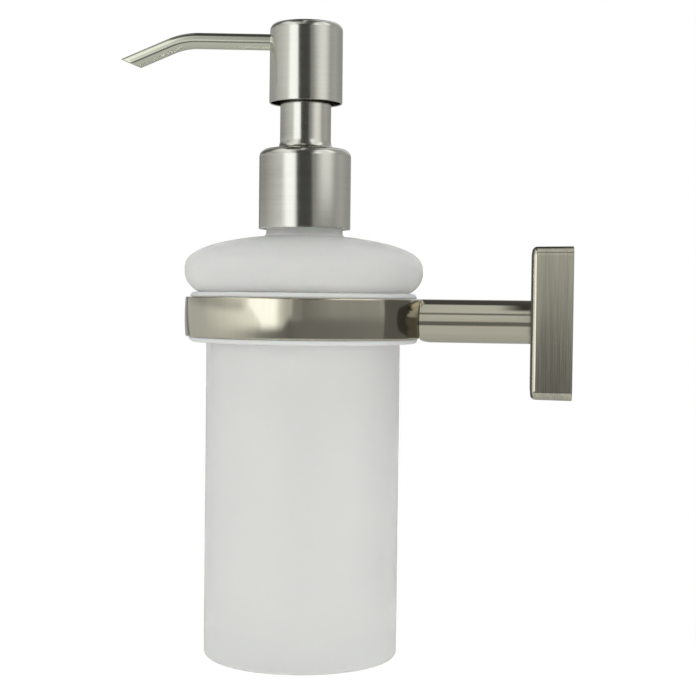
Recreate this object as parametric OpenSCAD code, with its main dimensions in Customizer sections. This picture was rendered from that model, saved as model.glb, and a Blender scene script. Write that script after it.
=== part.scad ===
// Wall mounted soap dispenser: a square flange and a round arm hold a ring, a soft insert in the ring
// carries a glass bottle, and a pump with a pressed head and a bent spout screws onto the bottle.
// The origin is the centre of the flange on the wall. +Y points into the wall and +Z points up.

/* [Wall fixing] */
// Side of the square flange
flange_w = 50; // [44:0.5:56]
// Depth of the flange, from the wall to its front face
flange_depth = 13.4; // [12.5:0.1:16]
// Corner radius of the flange, seen from the front
flange_corner_r = 3.1; // [3:0.1:8]
// Radius of the rounded edge round the flange's front face
flange_edge_r = 1.7; // [0.5:0.1:2.5]
// Wall thickness of the hollow flange
flange_wall = 3; // [2:0.1:3.5]
// Distance between the two screw holes in the wall bracket
bracket_hole_gap = 24; // [20:1:26]
// Radius of the screw holes in the wall bracket
bracket_hole_r = 2.5; // [2:0.1:3]

/* [Arm and ring] */
// Distance from the wall to the axis of the ring and bottle
axis_out = 91; // [85:0.5:110]
// Diameter of the arm
arm_d = 14.7; // [12:0.1:16]
// Outer radius of the ring
ring_r = 40.65; // [40.2:0.05:42]
// Wall thickness of the ring
ring_wall = 2.6; // [2.4:0.1:3]
// Height of the ring's lower edge
ring_bottom = -6.1; // [-7:0.1:-5.5]

/* [Bottle] */
// Outer radius of the bottle's straight body
body_r = 33.2; // [31:0.1:33.3]
// Depth of the bottle's base below the arm's centre line
bottle_depth = 115.5; // [100:0.5:130]
// Largest radius of the bulge that rests on the ring
bulge_r = 40.85; // [39:0.05:43]
// Height of the bulge's widest place
bulge_z = 16.4; // [16.2:0.1:16.8]
// Thickness of the glass wall
glass_wall = 2.6; // [2:0.1:3.2]
// Thickness of the glass base
glass_base = 6; // [4:0.5:9]
// Outer radius of the neck below the collar
neck_r = 13.1; // [12.8:0.1:13.4]
// Height of the bottle's rim
rim_z = 46.8; // [46:0.1:47.2]

/* [Screw thread] */
// Rise of the neck thread in one turn
thread_pitch = 4.233; // [4:0.001:4.5]
// Radius over the crests of the neck thread
thread_r = 13.7; // [13.4:0.05:13.8]
// Number of turns of the neck thread
thread_turns = 1.5; // [1:0.25:2]

/* [Pump] */
// Outer radius of the collar
collar_r = 15.7; // [15.6:0.05:17]
// Height of the collar's lower edge
collar_bottom = 30.8; // [30.6:0.1:31.4]
// Height of the collar's top face
collar_top = 58.1; // [57.8:0.1:58.6]
// Outer radius of the sleeve between the collar and the head
sleeve_r = 8.7; // [8.6:0.05:9]
// Travel of the pump head when it is pressed
stroke = 13; // [9:0.5:13]
// Outer radius of the head
head_r = 12.5; // [12.2:0.05:13.5]
// Height of the head's lower edge
head_bottom = 73.7; // [73.5:0.1:74]
// Height of the head's top face
head_top = 100.75; // [100.5:0.05:103]

/* [Spout] */
// Outer diameter of the spout tube
spout_d = 5.5; // [5:0.1:5.8]
// Height of the spout where it leaves the head's axis
spout_z = 94.4; // [94.2:0.1:94.8]
// Upward slope of the spout before its bend, in degrees
spout_rise = 1.5; // [0:0.1:2]
// Length of the spout from the head's axis to its bend
spout_straight = 37.5; // [30:0.5:45]
// Angle of the bend, in degrees
spout_bend = 23.7; // [15:0.1:40]
// Radius of the bend, along the tube's centre line
spout_bend_r = 23.5; // [15:0.5:30]
// Length of the spout's centre line beyond its bend
spout_nose = 15.5; // [10:0.1:25]

/* [Hidden] */
$fn = 64;
eps = 0.01;

// Running gap between parts that slide or turn on each other
run_gap = 0.05;
// Gap between two pieces pressed or fitted into each other
fit_gap = 0.02;
// Radial clearance of a screw in its hole
screw_gap = 0.2;
// Depth by which a block runs into the wall that carries it, and a cutter past the face it cuts
over = 1;

// Wall fixing
bracket_w = 36;
bracket_t = 2.5;
bracket_lip = 9;
flange_draft = 0.2;
flange_front = -flange_depth;
flange_inside = flange_w / 2 - flange_wall;
set_screw_r = 2;
set_screw_y = -5.5;
set_screw_end = 0.5;
set_screw_boss = 4.5;
boss_gap = 1.5;
hook_gap = 0.5;
set_screw_hex_r = 1.15;
set_screw_hex_depth = 2;
flange_corner_sides = 32;

// Arm screw (M6) and ring screw (M5)
arm_screw_r = 3;
arm_screw_reach = 14;
arm_screw_head_r = 5;
arm_screw_head_h = 4;
arm_screw_hex_r = 2.9;
arm_screw_hex_depth = 2.5;
washer_r = 6.5;
washer_t = 1;
ring_screw_r = 2.5;
ring_screw_reach = 12;
ring_screw_head_r = 4.6;
ring_screw_head_h = 2.1;
ring_screw_sink = 0.3;
ring_screw_hex_r = 1.75;
ring_screw_hex_depth = 1.6;

// Ring and its insert
arm_r = arm_d / 2;
ring_top = arm_r;
ring_in = ring_r - ring_wall;
ring_edge_r = 0.6;
liner_r = ring_in - run_gap;
liner_in = body_r + 0.3;
liner_bead_edge_r = 1.4;
liner_lip_edge_r = 1.5;
liner_chamfer = 0.5;
liner_seat_z = 8.55;
liner_crest_z = 9;
liner_bead_r = 38.8;
liner_lip_r = 39.2;
liner_bottom = -7.9;

// Bottle outline
base_corner_r = 1.8;
bulge_height = 12;
bulge_drop = 7.8;
bulge_top_r = 11.6;
bulge_top_power = 1.4;
bulge_height_power = 0.74;
finish_r = 12.5;
bore_r = 9.6;
finish_z = collar_bottom + 0.5;
finish_step = 0.6;
rim_edge = 0.5;
bulge_end = 78;
neck_start_z = bulge_z + bulge_height * pow(sin(bulge_end), bulge_height_power) + 0.1;

// Neck thread
thread_foot = 1.8;
thread_crest = 1;
thread_z = rim_z - 1.6;
thread_steps = 24;
thread_root = 0.4;
thread_fade = 0.15;
thread_fade_steps = 4;
insert_thread_r = 12.95;
insert_thread_drop = 1.35;

// Pump levels, from the bottle's rim up
gasket_t = 1.2;
gasket_r = 12.6;
gasket_gap = 0.3;
housing_z = rim_z + gasket_t;
housing_flange_t = 1.8;
housing_flange_r = 12.4;
guide_z = housing_z + housing_flange_t;
guide_flange_t = 1.5;
guide_flange_r = 10.5;
guide_tube_r = 6.6;
guide_top = 63;
guide_edge = 0.8;
insert_seat_z = guide_z + guide_flange_t + run_gap;

// Pump housing and valve
housing_r = 6.9;
housing_in = 5.6;
chamber_z = 4;
housing_taper_z = 2;
socket_z = -3;
socket_r = 4.4;
socket_end = -14;
dip_r = 3;
dip_bore = 2.1;
dip_top = -4;
dip_bottom = -107;
dip_slant = 30;
vent_r = 0.7;
vent_drop = 2;
vent_in = 2;
vent_out = 10;
inlet_bore = 1.6;
inlet_seat_z = -2;
inlet_chamber_r = 3;
inlet_ball_r = 2.4;
inlet_ball_z = -0.18;
cage_t = 1.4;
cage_hole_r = 1.1;
cage_hole_out = 2.4;

// Piston, spring and stem
piston_z = 36;
piston_h = 7;
piston_lip_h = 1.2;
piston_r = housing_in - run_gap;
piston_waist = 4.9;
stem_r = 3.5;
stem_bore = 1.9;
stem_bottom = 34.5;
stem_top = 89.5;
stem_bead_r = 3.75;
stem_step = 0.1;
spring_wire_r = 0.45;
spring_r = 4.45;
spring_turns = 9;
spring_steps = 16;
spring_sides = 6;
spring_closed_rise = 2 * spring_wire_r + 0.1;

// Collar
collar_wall = 0.7;
collar_shoulder_r = 2.8;
collar_rim_r = 0.4;
insert_r = collar_r - collar_wall - fit_gap;
insert_in = thread_r + 0.35;
insert_bottom = collar_bottom + 0.8;
insert_bore = sleeve_r + 0.4;
sleeve_wall = 0.7;
sleeve_bottom = 53;
sleeve_top = 77.5;
sleeve_flare_r = 10;
sleeve_flare_z = 61.3;
sleeve_foot = 0.4;

// Head
head_wall = 0.6;
head_top_wall = 0.8;
head_edge_r = 2.3;
head_draft = 0.08;
head_rim = 0.1;
core_disc_z = sleeve_top + stroke + 0.8;
core_tube_r = 6;
core_tube_z = guide_top + stroke + 2;
core_stop_gap = 0.5;
core_chamber_r = 2.8;
core_chamber_top = 97;
core_stop_r = 0.8;
core_stop_z = 94.7;
outlet_ball_r = 2.3;
outlet_ball_z = 90.82;

// Spout
spout_r = spout_d / 2;
spout_bore = 1.95;
spout_start = 4;
spout_cut = 45;
spout_overlap = 0.2;
spout_spare = 5;
waste_w = 20;
waste_h = 30;

// Points on an arc from angle a0 to a1
function arc(x, y, r, a0, a1, n = 6) =
    [for (i = [0:n]) let (a = a0 + (a1 - a0) * i / n) [x + r * cos(a), y + r * sin(a)]];

// Upper outline of the bulge from its widest place to the neck, drawn in by the wall for the inside
function bulge_upper(wall) =
    [for (t = [0:6:bulge_end])
        [bulge_top_r + (bulge_r - wall - bulge_top_r) * pow(cos(t), bulge_top_power),
         bulge_z + (bulge_height - wall) * pow(sin(t), bulge_height_power)]];

// Lower outline of the bulge, from the straight body up to its widest place
function bulge_lower(wall) =
    [for (t = [90:-9:9])
        [body_r - wall + (bulge_r - body_r) * cos(t), bulge_z - bulge_drop * sin(t)]];

function reversed(list) = [for (i = [len(list) - 1:-1:0]) list[i]];

// A solid turned about the bottle's axis from an outline of [radius, height] points
module turned(outline) {
    translate([0, -axis_out, 0]) rotate_extrude() polygon(outline);
}

// A cylinder along Y from y0 to y1, at height z
module rod_y(r, y0, y1, z = 0, sides = 64) {
    translate([0, y1, z]) rotate([90, 0, 0]) cylinder(r = r, h = y1 - y0, $fn = sides);
}

// A cylinder on the bottle's axis from z0 to z1
module rod_z(r, z0, z1) {
    translate([0, -axis_out, z0]) cylinder(r = r, h = z1 - z0);
}

// A box between two corners
module block(low, high) {
    translate(low) cube(high - low);
}

// A swept solid through rings of points, all with the same number of sides, closed at both ends
module sweep(rings, inward = false) {
    n = len(rings[0]);
    last = len(rings) - 1;
    sides = [for (i = [0:last - 1], j = [0:n - 1]) let (k = (j + 1) % n)
        [i * n + j, i * n + k, (i + 1) * n + k, (i + 1) * n + j]];
    ends = [[for (j = [n - 1:-1:0]) j], [for (j = [0:n - 1]) last * n + j]];
    faces = concat(sides, ends);
    polyhedron([for (ring = rings) each ring], inward ? faces : [for (f = faces) reversed(f)]);
}

// A helical ridge on the bottle's axis, with its foot at foot_r, its crest at crest_r and its top at top_z
module thread_ridge(foot_r, crest_r, top_z) {
    steps = thread_turns * thread_steps;
    translate([0, -axis_out, 0]) sweep([for (i = [0:steps]) let (
            a = 360 * i / thread_steps,
            z = top_z - thread_pitch * (steps - i) / thread_steps,
            fade = min(1, thread_fade + min(i, steps - i) / thread_fade_steps),
            tip_r = foot_r + (crest_r - foot_r) * fade)
        [for (p = [[foot_r, -thread_foot / 2], [tip_r, -thread_crest / 2],
                   [tip_r, thread_crest / 2], [foot_r, thread_foot / 2]])
            [p[0] * cos(a), p[0] * sin(a), z + p[1]]]], inward = crest_r > foot_r);
}

// The four corners of the flange's outline at depth y, drawn in by an inset
module flange_corners(inset, y) {
    reach = flange_w / 2 - flange_corner_r;
    for (x = [-reach, reach], z = [-reach, reach])
        translate([x, 0, 0]) rod_y(flange_corner_r - inset, y, y + 2 * eps, z, flange_corner_sides);
}

// The spout's path as a round bar of radius r, in the plane of the head's axis
module spout_bar(r, from, to) {
    translate([0, -axis_out, spout_z]) rotate([0, 0, -90]) rotate([0, -spout_rise, 0]) {
        translate([from, 0, 0]) rotate([0, 90, 0]) cylinder(r = r, h = spout_straight - from);
        translate([spout_straight, 0, -spout_bend_r]) {
            rotate([90, 0, 0])
                rotate_extrude(angle = spout_bend, start = 90 - spout_bend)
                    translate([spout_bend_r, 0]) circle(r = r);
            rotate([0, spout_bend, 0]) translate([-spout_overlap, 0, spout_bend_r])
                rotate([0, 90, 0]) cylinder(r = r - eps, h = to + spout_overlap);
        }
    }
}

// The waste beyond the spout's slanting mouth
module spout_waste() {
    translate([0, -axis_out, spout_z]) rotate([0, 0, -90]) rotate([0, -spout_rise, 0])
        translate([spout_straight, 0, -spout_bend_r]) rotate([0, spout_bend, 0])
            translate([spout_nose, 0, spout_bend_r]) rotate([0, spout_cut, 0])
                translate([0, -waste_w / 2, -waste_h / 2]) cube([waste_w, waste_w, waste_h]);
}

module wall_bracket() {
    half = bracket_w / 2;
    color("silver") difference() {
        union() {
            block([-half, -bracket_t, -half], [half, 0, half]);
            block([-half, -bracket_lip, half - bracket_t], [half, -bracket_t + eps, half]);
            block([-half, -bracket_lip, -half], [half, -bracket_t + eps, bracket_t - half]);
        }
        for (x = [-bracket_hole_gap / 2, bracket_hole_gap / 2])
            translate([x, 0, 0]) rod_y(bracket_hole_r, -bracket_t - over, over);
    }
}

module flange() {
    inset_front = flange_draft + flange_edge_r;
    hook = bracket_w / 2;
    color("darkgray") difference() {
        union() {
            difference() {
                hull() {
                    flange_corners(0, -2 * eps);
                    for (t = [0:30:90])
                        flange_corners(inset_front - flange_edge_r * cos(t),
                                       flange_edge_r - flange_depth - flange_edge_r * sin(t));
                }
                block([-flange_inside, flange_front + flange_wall, -flange_inside],
                      [flange_inside, over, flange_inside]);
            }
            block([-hook / 2, -bracket_lip, hook], [hook / 2, -bracket_t - hook_gap, flange_inside + over]);
            block([-set_screw_boss, flange_front + over, -flange_inside - over],
                  [set_screw_boss, -boss_gap, -hook - over]);
        }
        rod_y(arm_screw_r + screw_gap, flange_front - over, 0);
        translate([0, set_screw_y, -flange_w / 2 - over]) cylinder(r = set_screw_r, h = flange_w / 4);
    }
}

module flange_set_screw() {
    bottom = -flange_w / 2 + set_screw_end;
    color("dimgray") translate([0, set_screw_y, bottom]) difference() {
        cylinder(r = set_screw_r, h = -bracket_w / 2 - bottom);
        translate([0, 0, -over]) cylinder(r = set_screw_hex_r, h = set_screw_hex_depth + over, $fn = 6);
    }
}

module arm() {
    color("darkgray") difference() {
        rod_y(arm_r, -axis_out + ring_r / 2, flange_front);
        rod_z(ring_r, -arm_d, arm_d);
        rod_y(arm_screw_r, flange_front - arm_screw_reach - over, 0);
        rod_y(ring_screw_r, -axis_out, -axis_out + ring_r + ring_screw_reach + over);
    }
}

module arm_washer() {
    seat = flange_front + flange_wall;
    color("silver") difference() {
        rod_y(washer_r, seat, seat + washer_t);
        rod_y(arm_screw_r + screw_gap, seat - over, seat + washer_t + over);
    }
}

module arm_screw() {
    seat = flange_front + flange_wall + washer_t;
    color("dimgray") difference() {
        union() {
            rod_y(arm_screw_head_r, seat, seat + arm_screw_head_h);
            rod_y(arm_screw_r, flange_front - arm_screw_reach, seat + eps);
        }
        rod_y(arm_screw_hex_r, seat + arm_screw_head_h - arm_screw_hex_depth,
              seat + arm_screw_head_h + over, 0, 6);
    }
}

// The ring screw's body with its cone, longer at the head when it is used as the hole
module ring_screw_shape(extra) {
    face = -axis_out + ring_in + ring_screw_sink;
    translate([0, face + ring_screw_head_h, 0]) rotate([90, 0, 0])
        cylinder(r1 = ring_screw_r, r2 = ring_screw_head_r, h = ring_screw_head_h);
    rod_y(ring_screw_r, face + ring_screw_head_h - eps, -axis_out + ring_r + ring_screw_reach);
    if (extra > 0)
        rod_y(ring_screw_head_r, face - extra, face + eps);
}

module ring() {
    color("darkgray") difference() {
        turned(concat(
            [[ring_in, ring_bottom], [ring_r - ring_edge_r, ring_bottom]],
            arc(ring_r - ring_edge_r, ring_bottom + ring_edge_r, ring_edge_r, -90, 0, 4),
            arc(ring_r - ring_edge_r, ring_top - ring_edge_r, ring_edge_r, 0, 90, 4),
            [[ring_in, ring_top]]));
        ring_screw_shape(3);
    }
}

module ring_screw() {
    face = -axis_out + ring_in + ring_screw_sink;
    color("dimgray") difference() {
        ring_screw_shape(0);
        rod_y(ring_screw_hex_r, face - over, face + ring_screw_hex_depth, 0, 6);
    }
}

module ring_liner() {
    color("whitesmoke") turned(concat(
        [[liner_in, liner_bottom]],
        arc(liner_lip_r - liner_lip_edge_r, liner_bottom + liner_lip_edge_r, liner_lip_edge_r, -90, 0, 5),
        [[liner_lip_r, ring_bottom - run_gap], [liner_r, ring_bottom - run_gap],
         [liner_r, ring_top + run_gap], [liner_bead_r, ring_top + run_gap]],
        arc(liner_bead_r - liner_bead_edge_r, liner_crest_z - liner_bead_edge_r, liner_bead_edge_r, 0, 90, 5),
        [[liner_bead_r - 2 * liner_bead_edge_r, liner_seat_z], [liner_in + liner_chamfer, liner_seat_z],
         [liner_in, liner_seat_z - liner_chamfer]]));
}

module bottle() {
    color([0.86, 0.88, 0.87]) union() {
        turned(concat(
            [[0, -bottle_depth]],
            arc(body_r - base_corner_r, base_corner_r - bottle_depth, base_corner_r, -90, 0),
            bulge_lower(0), bulge_upper(0),
            [[neck_r, neck_start_z], [neck_r, finish_z], [finish_r, finish_z + finish_step],
             [finish_r, rim_z - rim_edge], [finish_r - rim_edge, rim_z], [bore_r, rim_z],
             [bore_r, neck_start_z - glass_wall / 2]],
            reversed(bulge_upper(glass_wall)), reversed(bulge_lower(glass_wall)),
            reversed(arc(body_r - glass_wall - base_corner_r, glass_base + base_corner_r - bottle_depth,
                         base_corner_r, -90, 0)),
            [[0, glass_base - bottle_depth]]));
        thread_ridge(finish_r - thread_root, thread_r, thread_z);
    }
}

module pump_housing() {
    color("white") difference() {
        turned([
            [socket_r, socket_end], [socket_r, socket_z], [housing_r, housing_taper_z],
            [housing_r, housing_z], [housing_flange_r, housing_z], [housing_flange_r, guide_z],
            [housing_in, guide_z], [housing_in, chamber_z], [inlet_chamber_r, chamber_z],
            [inlet_chamber_r, inlet_seat_z + inlet_chamber_r - inlet_bore], [inlet_bore, inlet_seat_z],
            [inlet_bore, dip_top], [dip_r, dip_top], [dip_r, socket_end]]);
        rod_y(vent_r, -axis_out + vent_in, -axis_out + vent_out, rim_z - vent_drop);
    }
}

module neck_gasket() {
    color("lightgray") turned([
        [housing_r + gasket_gap, rim_z], [gasket_r, rim_z], [gasket_r, housing_z],
        [housing_r + gasket_gap, housing_z]]);
}

module stem_guide() {
    bore = stem_r + run_gap;
    skirt = piston_z + piston_h + stem_step;
    color("white") turned([
        [bore, skirt], [piston_r, skirt], [piston_r, guide_z], [guide_flange_r, guide_z],
        [guide_flange_r, guide_z + guide_flange_t], [guide_tube_r, guide_z + guide_flange_t],
        [guide_tube_r, guide_top - guide_edge], [guide_tube_r - guide_edge, guide_top], [bore, guide_top]]);
}

module dip_tube() {
    color("ghostwhite") difference() {
        turned([[dip_bore, dip_bottom], [dip_r, dip_bottom], [dip_r, dip_top], [dip_bore, dip_top]]);
        translate([0, -axis_out, dip_bottom]) rotate([0, dip_slant, 0])
            translate([-waste_w / 2, -waste_w / 2, -waste_w / 2]) cube([waste_w, waste_w, waste_w / 2]);
    }
}

module ball_cage() {
    color("white") difference() {
        rod_z(housing_in - 2 * run_gap, chamber_z, chamber_z + cage_t);
        for (a = [0:90:270])
            translate([0, -axis_out, 0]) rotate([0, 0, a]) translate([cage_hole_out, 0, chamber_z - over])
                cylinder(r = cage_hole_r, h = cage_t + 2 * over);
    }
}

module collar_shell() {
    shoulder = collar_r - collar_shoulder_r;
    shoulder_z = collar_top - collar_shoulder_r;
    color("gainsboro") turned(concat(
        [[collar_r - collar_wall, collar_bottom]],
        arc(collar_r - collar_rim_r, collar_bottom + collar_rim_r, collar_rim_r, -90, 0, 4),
        arc(shoulder, shoulder_z, collar_shoulder_r, 0, 90),
        [[sleeve_r + run_gap, collar_top], [sleeve_r + run_gap, collar_top - collar_wall]],
        arc(shoulder, shoulder_z, collar_shoulder_r - collar_wall, 90, 0)));
}

module collar_insert() {
    shoulder = collar_r - collar_shoulder_r;
    top = collar_top - collar_wall - fit_gap;
    color("white") union() {
        turned(concat(
            [[insert_in, insert_bottom], [insert_r, insert_bottom]],
            arc(shoulder, collar_top - collar_shoulder_r, insert_r - shoulder, 0, 90),
            [[insert_bore, top], [insert_bore, insert_seat_z], [insert_in, insert_seat_z]]));
        thread_ridge(insert_in + thread_root, insert_thread_r, thread_z - insert_thread_drop);
    }
}

module collar_sleeve() {
    inner = sleeve_r - sleeve_wall;
    color("gainsboro") turned(concat(
        [[inner, sleeve_bottom], [sleeve_r, sleeve_bottom], [sleeve_r, collar_top],
         [sleeve_flare_r, collar_top]],
        [for (t = [0:15:90])
            [sleeve_flare_r - (sleeve_flare_r - sleeve_r) * sin(t),
             sleeve_flare_z - (sleeve_flare_z - collar_top - sleeve_foot) * cos(t)]],
        [[sleeve_r, sleeve_top], [inner, sleeve_top]]));
}

module piston() {
    bore = stem_r + run_gap;
    top = piston_z + piston_h;
    color("gray") turned([
        [bore, piston_z], [piston_r, piston_z], [piston_r, piston_z + piston_lip_h],
        [piston_waist, piston_z + 1.5 * piston_lip_h], [piston_waist, top - 1.5 * piston_lip_h],
        [piston_r, top - piston_lip_h], [piston_r, top], [bore, top]]);
}

// Height of the spring's wire after a number of turns: one closed turn at each end, open turns between
function spring_rise(turn, length) =
    spring_closed_rise * (min(turn, 1) + max(0, turn - spring_turns + 1))
    + (length - 2 * spring_closed_rise) * max(0, min(1, (turn - 1) / (spring_turns - 2)));

module return_spring() {
    low = chamber_z + cage_t + spring_wire_r + fit_gap;
    high = piston_z - spring_wire_r - fit_gap;
    color("silver") translate([0, -axis_out, 0]) sweep([for (i = [0:spring_turns * spring_steps]) let (
            a = 360 * i / spring_steps,
            z = low + spring_rise(i / spring_steps, high - low))
        [for (j = [0:spring_sides - 1]) let (
                b = 360 * j / spring_sides,
                r = spring_r + spring_wire_r * cos(b))
            [r * cos(a), r * sin(a), z + spring_wire_r * sin(b)]]], inward = true);
}

module head_shell() {
    edge = head_r - head_draft - head_edge_r;
    edge_z = head_top - head_edge_r;
    color("gainsboro") difference() {
        turned(concat(
            [[head_r - head_wall, head_bottom], [head_r - head_rim, head_bottom],
             [head_r, head_bottom + head_rim]],
            arc(edge, edge_z, head_edge_r, 0, 90),
            [[0, head_top], [0, head_top - head_top_wall]],
            arc(edge, head_top - head_top_wall - head_edge_r + head_wall, head_edge_r - head_wall, 90, 0)));
        spout_bar(spout_r, spout_start, 1);
    }
}

module head_core() {
    disc_r = head_r - head_draft - head_wall - fit_gap;
    disc_top = head_top - head_top_wall - fit_gap;
    color("white") difference() {
        union() {
            turned([
                [stem_r, core_tube_z], [core_tube_r, core_tube_z], [core_tube_r, core_disc_z],
                [disc_r, core_disc_z], [disc_r, disc_top - head_edge_r], [disc_r - head_edge_r, disc_top],
                [0, disc_top], [0, core_chamber_top], [core_chamber_r, core_chamber_top],
                [core_chamber_r, stem_top], [stem_r, stem_top]]);
            rod_z(core_stop_r, core_stop_z, core_chamber_top + eps);
        }
        spout_bar(spout_r, spout_start, 1);
        spout_bar(spout_bore, core_stop_r + core_stop_gap, 1);
    }
}

module stem() {
    color("ghostwhite") turned([
        [stem_bore, stem_bottom], [stem_bead_r, stem_bottom], [stem_bead_r, piston_z - stem_step],
        [stem_r, piston_z - stem_step], [stem_r, stem_top], [stem_bore, stem_top]]);
}

module spout() {
    color("darkgray") difference() {
        spout_bar(spout_r, spout_start, spout_nose + spout_spare);
        spout_bar(spout_bore, spout_start - over, spout_nose + spout_spare + over);
        spout_waste();
    }
}

module inlet_ball() {
    color("silver") translate([0, -axis_out, inlet_ball_z]) sphere(r = inlet_ball_r);
}

module outlet_ball() {
    color("silver") translate([0, -axis_out, outlet_ball_z]) sphere(r = outlet_ball_r);
}

wall_bracket();
flange();
flange_set_screw();
arm();
arm_screw();
arm_washer();
ring();
ring_screw();
ring_liner();
bottle();
pump_housing();
neck_gasket();
stem_guide();
dip_tube();
ball_cage();
collar_shell();
collar_insert();
collar_sleeve();
piston();
return_spring();
head_shell();
head_core();
stem();
spout();
inlet_ball();
outlet_ball();
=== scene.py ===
"""Looks of the wall mounted soap dispenser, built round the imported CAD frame."""

import math
from types import SimpleNamespace

import bmesh
import bpy
from mathutils import Matrix, Vector


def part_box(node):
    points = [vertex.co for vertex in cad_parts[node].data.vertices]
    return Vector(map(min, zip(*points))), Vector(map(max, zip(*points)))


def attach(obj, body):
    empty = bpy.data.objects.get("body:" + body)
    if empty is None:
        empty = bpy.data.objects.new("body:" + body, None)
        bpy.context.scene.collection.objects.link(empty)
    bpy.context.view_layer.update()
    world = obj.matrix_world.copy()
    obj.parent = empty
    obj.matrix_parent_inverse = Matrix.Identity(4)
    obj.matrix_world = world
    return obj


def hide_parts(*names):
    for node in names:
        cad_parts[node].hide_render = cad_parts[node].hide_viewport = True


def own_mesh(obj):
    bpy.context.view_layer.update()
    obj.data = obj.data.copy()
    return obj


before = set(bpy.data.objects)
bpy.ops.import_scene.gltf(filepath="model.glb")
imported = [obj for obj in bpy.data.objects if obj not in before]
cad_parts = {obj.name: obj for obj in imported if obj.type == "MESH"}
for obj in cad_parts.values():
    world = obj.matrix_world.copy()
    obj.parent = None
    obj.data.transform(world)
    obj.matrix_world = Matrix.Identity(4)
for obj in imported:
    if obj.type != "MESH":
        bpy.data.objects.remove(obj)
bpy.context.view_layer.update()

MM = 0.001
ROUND = 160
SMALL_ROUND = 96


def span(node):
    """Lowest and highest corners of a CAD node, in millimetres."""
    low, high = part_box(node)
    return low / MM, high / MM


# Driving sizes in millimetres, read from the frame
RING_LOW, RING_HIGH = span("ring")
AXIS_Y = (RING_LOW.y + RING_HIGH.y) / 2
RING_R = RING_HIGH.x
RING_WALL = 2.6
RING_MID = (RING_LOW.z + RING_HIGH.z) / 2


# ---------------------------------------------------------------- mesh tools

UP_TO_Y = Matrix.Rotation(math.radians(-90), 4, "X")


def arc(x, y, r, start, end, steps):
    """Points on an arc, angles in degrees."""
    angles = [math.radians(start + (end - start) * i / steps) for i in range(steps + 1)]
    return [(x + r * math.cos(a), y + r * math.sin(a)) for a in angles]


def rise(r, z0, z1, steps):
    """Points up or down a straight wall at radius r."""
    return [(r, z0 + (z1 - z0) * i / steps) for i in range(steps + 1)]


def quarter(steps):
    """Angles from 0 to 90 degrees in even steps, in radians."""
    return [math.radians(90 * i / steps) for i in range(steps + 1)]


def all_round(sides):
    """Evenly spaced angles round a full circle, in radians."""
    return [2 * math.pi * i / sides for i in range(sides)]


def link(name, data):
    piece = bpy.data.objects.new(name, data)
    bpy.context.scene.collection.objects.link(piece)
    return piece


def smoothed(piece, angle=32):
    """Smooth shading, but for edges sharper than the angle in degrees."""
    mesh = piece.data
    mesh.polygons.foreach_set("use_smooth", [True] * len(mesh.polygons))
    mesh.set_sharp_from_angle(angle=math.radians(angle))
    weighted = piece.modifiers.new("normals", "WEIGHTED_NORMAL")
    weighted.keep_sharp = True
    return piece


def finished(name, bm, angle=32):
    """A smoothed object in metres from a bmesh in millimetres, its faces turned outward."""
    bmesh.ops.remove_doubles(bm, verts=bm.verts, dist=1e-5)
    bmesh.ops.recalc_face_normals(bm, faces=bm.faces)
    bmesh.ops.scale(bm, vec=(MM, MM, MM), verts=bm.verts)
    mesh = bpy.data.meshes.new(name)
    bm.to_mesh(mesh)
    bm.free()
    return smoothed(link(name, mesh), angle)


def stitched(bm, rows, closed_rows=False):
    """Faces between rows of vertices, each row a closed loop or one vertex on the axis."""
    pairs = list(zip(rows, rows[1:]))
    if closed_rows:
        pairs.append((rows[-1], rows[0]))
    for low, high in pairs:
        n = max(len(low), len(high))
        for i in range(n):
            k = (i + 1) % n
            corners = [low[i % len(low)], low[k % len(low)], high[k % len(high)], high[i % len(high)]]
            unique = list(dict.fromkeys(corners))
            if len(unique) > 2:
                bm.faces.new(unique)


def lathe(name, outline, turns=ROUND, reach=None):
    """A piece turned about the bottle's axis from a closed outline of (radius, height) points.
    reach(r, z, angle) may change the radius with the angle, for a thread."""
    on_axis = 1e-6
    bm = bmesh.new()
    rows = []
    for r, z in outline:
        if r < on_axis:
            rows.append([bm.verts.new((0, AXIS_Y, z))])
            continue
        row = []
        for a in all_round(turns):
            radius = reach(r, z, a) if reach else r
            row.append(bm.verts.new((radius * math.cos(a), AXIS_Y + radius * math.sin(a), z)))
        rows.append(row)
    solid = outline[0][0] < on_axis and outline[-1][0] < on_axis
    stitched(bm, rows, closed_rows=not solid)
    return finished(name, bm)


def cone(name, r_low, r_high, length, place, sides=64):
    """A closed cone or cylinder along the Z axis of a placing matrix, to cut with."""
    bm = bmesh.new()
    bmesh.ops.create_cone(bm, cap_ends=True, segments=sides, radius1=r_low, radius2=r_high, depth=length,
                          matrix=place)
    return finished(name, bm)


def rod(name, r, y0, y1):
    """A cylinder along the arm's centre line, to cut with."""
    middle = Matrix.Translation((0, (y0 + y1) / 2, 0))
    return cone(name, r, r, abs(y1 - y0), middle @ UP_TO_Y, SMALL_ROUND)


def block(name, low, high):
    """A plain box between two corners, to join on."""
    size = Vector(high) - Vector(low)
    middle = (Vector(high) + Vector(low)) / 2
    bm = bmesh.new()
    bmesh.ops.create_cube(bm, size=1.0, matrix=Matrix.Translation(middle) @ Matrix.Diagonal((*size, 1)))
    return finished(name, bm)


def combine(piece, cutter, operation="DIFFERENCE"):
    """Applies an exact boolean to a piece and removes the cutter."""
    piece.modifiers.clear()
    cutter.modifiers.clear()
    boolean = piece.modifiers.new("cut", "BOOLEAN")
    boolean.operation = operation
    boolean.solver = "EXACT"
    boolean.object = cutter
    shaped = bpy.data.meshes.new_from_object(piece.evaluated_get(bpy.context.evaluated_depsgraph_get()))
    piece.modifiers.remove(boolean)
    piece.data = shaped
    bpy.data.objects.remove(cutter)
    return smoothed(piece)


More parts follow.
